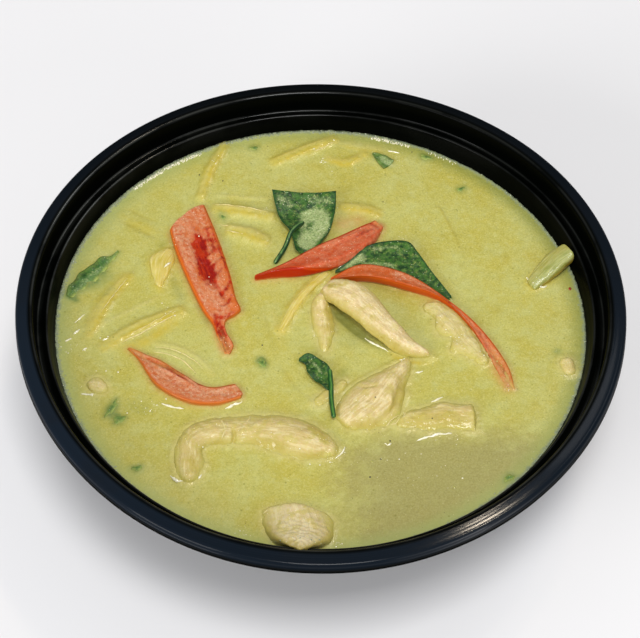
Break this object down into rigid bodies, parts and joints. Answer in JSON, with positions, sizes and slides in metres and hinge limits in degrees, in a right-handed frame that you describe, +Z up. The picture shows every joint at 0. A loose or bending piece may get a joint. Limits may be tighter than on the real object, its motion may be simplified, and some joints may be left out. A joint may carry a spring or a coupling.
{
  "type": "thai green curry",
  "caption": "Thai green curry in a round black takeaway bowl: pale green sauce with sliced chicken, red pepper strips, basil leaves and bamboo shoots.",
  "frame": {"origin": "Centre of the underside of the bowl, on the surface it stands on", "axes": "+Z up; +X to the right and +Y away from the eater; the chicken piece on the ledge lies towards -Y"},
  "size_m": [0.1831, 0.1841, 0.0606],
  "materials": {
    "black_plastic": "semi-gloss moulded black plastic, satin on the flange",
    "green_curry": null,
    "red_pepper": null,
    "basil_leaf": null,
    "cooked_chicken": null,
    "bamboo_shoot": null,
    "pale_vegetable": null
  },
  "bodies": {
    "root": {"bowl": "black_plastic", "curry_sauce": "green_curry", "pepper_top": "red_pepper", "pepper_long": "red_pepper", "pepper_wide": "red_pepper", "pepper_crescent": "red_pepper", "basil_top": "basil_leaf", "basil_middle": "basil_leaf", "basil_sprig": "basil_leaf", "basil_left": "basil_leaf", "basil_scrap": "basil_leaf", "chicken_main": "cooked_chicken", "chicken_centre": "cooked_chicken", "chicken_left_long": "cooked_chicken", "chicken_front": "cooked_chicken", "chicken_far_right": "cooked_chicken", "chicken_near_right": "cooked_chicken", "chicken_fold": "cooked_chicken", "chicken_small": "cooked_chicken", "bamboo_chunk": "bamboo_shoot", "bamboo_far_left": "bamboo_shoot", "bamboo_far_middle": "bamboo_shoot", "bamboo_far_bent": "bamboo_shoot", "bamboo_upper": "bamboo_shoot", "bamboo_lower": "bamboo_shoot", "bamboo_stub": "bamboo_shoot", "bamboo_behind_leaf": "bamboo_shoot", "bamboo_middle": "bamboo_shoot", "bamboo_left": "bamboo_shoot", "bamboo_near_left": "bamboo_shoot", "lump_left": "pale_vegetable", "lump_right": "pale_vegetable"}
  },
  "joints": []
}
